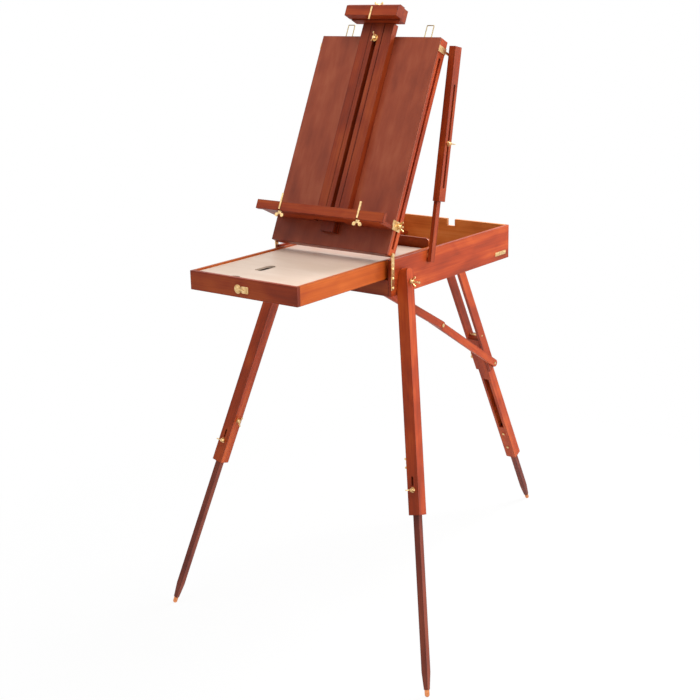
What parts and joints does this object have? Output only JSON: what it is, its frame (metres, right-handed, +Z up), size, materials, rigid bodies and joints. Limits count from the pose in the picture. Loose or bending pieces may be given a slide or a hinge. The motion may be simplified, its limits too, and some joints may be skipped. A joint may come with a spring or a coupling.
{
  "type": "wooden artist easel",
  "caption": "Sketch-box easel on folding telescopic legs, with a pulled-out drawer and palette, a lid that stands as a canvas panel, a sliding mast and a canvas ledge.",
  "frame": {"origin": "on the ground under the middle of the outer box", "axes": "+X is the painter's right, +Y points away from the painter, +Z is up"},
  "size_m": [0.8716, 1.362, 1.6255],
  "materials": {
    "stained_wood": "satin varnish",
    "plywood": "bare plywood",
    "palette_wood": "light satin plywood",
    "brass": "brass plated",
    "tip": "plated point"
  },
  "bodies": {
    "box": {"box_left_wall": "stained_wood", "box_right_wall": "stained_wood", "box_back_wall": "stained_wood", "box_front_rail": "stained_wood", "box_floor": "plywood", "drawer_runners": "stained_wood", "lid_straps": "brass", "box_screws": "brass", "rear_hinge_block": "stained_wood", "strut_bracket": "brass", "back_catches": "brass"},
    "lid": {"lid_panel": "stained_wood", "lid_frame": "stained_wood", "mast_guides": "stained_wood", "lid_brasses": "brass"},
    "mast": {"mast_bar": "stained_wood", "top_clamp": "stained_wood", "mast_brasses": "brass"},
    "top_pin": {"top_pin": "brass"},
    "mast_wing_nut": {"mast_wing_nut": "brass"},
    "ledge": {"ledge": "stained_wood", "ledge_brasses": "brass"},
    "drawer": {"drawer_front": "stained_wood", "drawer_walls": "stained_wood", "drawer_tray": "plywood", "latch_plate": "brass"},
    "latch_toggle": {"latch_toggle": "brass"},
    "palette": {"palette": "palette_wood"},
    "rear_leg": {"rear_fork": "stained_wood", "rear_core": "stained_wood", "rear_brasses": "brass"},
    "rear_foot": {"rear_lower": "stained_wood", "rear_tip": "tip"},
    "strut_upper": {"strut_upper": "stained_wood"},
    "strut_lower": {"strut_lower": "stained_wood", "strut_rivets": "brass"},
    "bail_left": {"bail_left": "brass"},
    "ledge_wing_nut_left": {"ledge_wing_nut_left": "brass"},
    "canvas_peg_left": {"canvas_peg_left": "brass"},
    "arm_bar_left": {"arm_bar_left": "stained_wood"},
    "arm_sleeve_left": {"arm_sleeve_left": "stained_wood"},
    "arm_wing_nut_left": {"arm_wing_nut_left": "brass"},
    "leg_left": {"leg_left_upper": "stained_wood"},
    "leg_left_foot": {"leg_left_lower": "stained_wood", "leg_left_tip": "tip"},
    "leg_left_pivot_nut": {"leg_left_pivot_nut": "brass"},
    "leg_left_front_screw": {"leg_left_front_screw": "brass"},
    "leg_left_side_screw": {"leg_left_side_screw": "brass"},
    "bail_right": {"bail_right": "brass"},
    "ledge_wing_nut_right": {"ledge_wing_nut_right": "brass"},
    "canvas_peg_right": {"canvas_peg_right": "brass"},
    "arm_bar_right": {"arm_bar_right": "stained_wood"},
    "arm_sleeve_right": {"arm_sleeve_right": "stained_wood"},
    "arm_wing_nut_right": {"arm_wing_nut_right": "brass"},
    "leg_right": {"leg_right_upper": "stained_wood"},
    "leg_right_foot": {"leg_right_lower": "stained_wood", "leg_right_tip": "tip"},
    "leg_right_pivot_nut": {"leg_right_pivot_nut": "brass"},
    "leg_right_front_screw": {"leg_right_front_screw": "brass"},
    "leg_right_side_screw": {"leg_right_side_screw": "brass"}
  },
  "joints": [
    {"name": "lid_hinge", "type": "hinge", "parent": "box", "child": "lid", "pos_m": [0, -0.33298, 1.0293], "axis": [1, 0, 0], "range_deg": [-64.7, 10]},
    {"name": "mast_slide", "type": "slide", "parent": "lid", "child": "mast", "axis": [0, 0.4274, 0.9041], "range_m": [0, 0.3]},
    {"name": "top_pin_slide", "type": "slide", "parent": "mast", "child": "top_pin", "axis": [0, 0.4274, 0.9041], "range_m": [-0.015, 0]},
    {"name": "mast_wing_nut_turn", "type": "hinge", "parent": "lid", "child": "mast_wing_nut", "pos_m": [0, -0.13842, 1.53683], "axis": [0, -0.9041, 0.4274], "continuous": true},
    {"name": "ledge_slide", "type": "slide", "parent": "lid", "child": "ledge", "axis": [0, 0.4274, 0.9041], "range_m": [-0.04, 0.38]},
    {"name": "drawer_slide", "type": "slide", "parent": "box", "child": "drawer", "axis": [0, 1, 0], "range_m": [0, 0.338]},
    {"name": "latch_turn", "type": "hinge", "parent": "drawer", "child": "latch_toggle", "pos_m": [-0.0137, -0.67698, 0.988], "axis": [0, 1, 0], "range_deg": [0, 90]},
    {"name": "palette_slide", "type": "slide", "parent": "drawer", "child": "palette", "axis": [0, 1, 0], "range_m": [0, 0.01]},
    {"name": "rear_leg_fold", "type": "hinge", "parent": "box", "child": "rear_leg", "pos_m": [0, 0.21002, 0.903], "axis": [1, 0, 0], "range_deg": [-117.4, 0]},
    {"name": "rear_foot_slide", "type": "slide", "parent": "rear_leg", "child": "rear_foot", "axis": [0, -0.4602, 0.8878], "range_m": [-0.03, 0.16]},
    {"name": "strut_upper_fold", "type": "hinge", "parent": "box", "child": "strut_upper", "pos_m": [0, -0.21098, 0.911], "axis": [1, 0, 0], "range_deg": [0, 27.98]},
    {"name": "strut_lower_fold", "type": "hinge", "parent": "strut_upper", "child": "strut_lower", "pos_m": [0, 0.10736, 0.73178], "axis": [1, 0, 0], "range_deg": [-174.45, 0]},
    {"name": "bail_left_swing", "type": "hinge", "parent": "lid", "child": "bail_left", "pos_m": [-0.125, -0.08771, 1.52946], "axis": [1, 0, 0], "range_deg": [-90, 90]},
    {"name": "ledge_wing_nut_left_turn", "type": "hinge", "parent": "ledge", "child": "ledge_wing_nut_left", "pos_m": [-0.188, -0.30673, 1.09653], "axis": [1, 0, 0], "continuous": true},
    {"name": "canvas_peg_left_slide", "type": "slide", "parent": "ledge", "child": "canvas_peg_left", "axis": [0, 0.4274, 0.9041], "range_m": [0, 0.02]},
    {"name": "arm_bar_left_turn", "type": "hinge", "parent": "box", "child": "arm_bar_left", "pos_m": [-0.189, -0.17398, 1.001], "axis": [1, 0, 0], "range_deg": [-79.85, 12.36]},
    {"name": "arm_sleeve_left_slide", "type": "slide", "parent": "arm_bar_left", "child": "arm_sleeve_left", "axis": [0, 0.1997, 0.9798], "range_m": [-0.13109, 0.02043]},
    {"name": "arm_wing_nut_left_turn", "type": "hinge", "parent": "arm_bar_left", "child": "arm_wing_nut_left", "pos_m": [-0.208, -0.11725, 1.27928], "axis": [1, 0, 0], "continuous": true},
    {"name": "leg_left_fold", "type": "hinge", "parent": "box", "child": "leg_left", "pos_m": [-0.19721, -0.29498, 0.96], "axis": [1, 0, 0], "range_deg": [0, 104.84]},
    {"name": "leg_left_foot_slide", "type": "slide", "parent": "leg_left", "child": "leg_left_foot", "axis": [0.2294, 0.2493, 0.9409], "range_m": [-0.04, 0.385]},
    {"name": "leg_left_pivot_nut_turn", "type": "hinge", "parent": "box", "child": "leg_left_pivot_nut", "pos_m": [-0.21473, -0.29498, 0.96], "axis": [1, 0, 0], "continuous": true},
    {"name": "leg_left_front_screw_turn", "type": "hinge", "parent": "leg_left", "child": "leg_left_front_screw", "pos_m": [-0.3158, -0.43885, 0.47754], "axis": [0, -0.9666, 0.2561], "continuous": true},
    {"name": "leg_left_side_screw_turn", "type": "hinge", "parent": "leg_left", "child": "leg_left_side_screw", "pos_m": [-0.2858, -0.40857, 0.53129], "axis": [0.9733, -0.0587, -0.2217], "continuous": true},
    {"name": "bail_right_swing", "type": "hinge", "parent": "lid", "child": "bail_right", "pos_m": [0.125, -0.08771, 1.52946], "axis": [1, 0, 0], "range_deg": [-90, 90]},
    {"name": "ledge_wing_nut_right_turn", "type": "hinge", "parent": "ledge", "child": "ledge_wing_nut_right", "pos_m": [0.188, -0.30673, 1.09653], "axis": [1, 0, 0], "continuous": true},
    {"name": "canvas_peg_right_slide", "type": "slide", "parent": "ledge", "child": "canvas_peg_right", "axis": [0, 0.4274, 0.9041], "range_m": [0, 0.02]},
    {"name": "arm_bar_right_turn", "type": "hinge", "parent": "box", "child": "arm_bar_right", "pos_m": [0.189, -0.17398, 1.001], "axis": [1, 0, 0], "range_deg": [-79.85, 12.36]},
    {"name": "arm_sleeve_right_slide", "type": "slide", "parent": "arm_bar_right", "child": "arm_sleeve_right", "axis": [0, 0.1997, 0.9798], "range_m": [-0.13109, 0.02043]},
    {"name": "arm_wing_nut_right_turn", "type": "hinge", "parent": "arm_bar_right", "child": "arm_wing_nut_right", "pos_m": [0.208, -0.11725, 1.27928], "axis": [1, 0, 0], "continuous": true},
    {"name": "leg_right_fold", "type": "hinge", "parent": "box", "child": "leg_right", "pos_m": [0.19721, -0.29498, 0.96], "axis": [1, 0, 0], "range_deg": [0, 104.84]},
    {"name": "leg_right_foot_slide", "type": "slide", "parent": "leg_right", "child": "leg_right_foot", "axis": [-0.2294, 0.2493, 0.9409], "range_m": [-0.04, 0.385]},
    {"name": "leg_right_pivot_nut_turn", "type": "hinge", "parent": "box", "child": "leg_right_pivot_nut", "pos_m": [0.21473, -0.29498, 0.96], "axis": [1, 0, 0], "continuous": true},
    {"name": "leg_right_front_screw_turn", "type": "hinge", "parent": "leg_right", "child": "leg_right_front_screw", "pos_m": [0.3158, -0.43885, 0.47754], "axis": [0, -0.9666, 0.2561], "continuous": true},
    {"name": "leg_right_side_screw_turn", "type": "hinge", "parent": "leg_right", "child": "leg_right_side_screw", "pos_m": [0.2858, -0.40857, 0.53129], "axis": [-0.9733, -0.0587, -0.2217], "continuous": true}
  ],
  "couplings": [
    {"joint": "strut_upper_fold", "follows": "rear_leg_fold", "ratio": -0.23813},
    {"joint": "strut_lower_fold", "follows": "rear_leg_fold", "ratio": 1.4858},
    {"joint": "arm_bar_left_turn", "follows": "lid_hinge", "ratio": 1.2339},
    {"joint": "arm_sleeve_left_slide", "follows": "lid_hinge", "m_per_rad": 0.11591},
    {"joint": "arm_bar_right_turn", "follows": "lid_hinge", "ratio": 1.2339},
    {"joint": "arm_sleeve_right_slide", "follows": "lid_hinge", "m_per_rad": 0.11591}
  ]
}
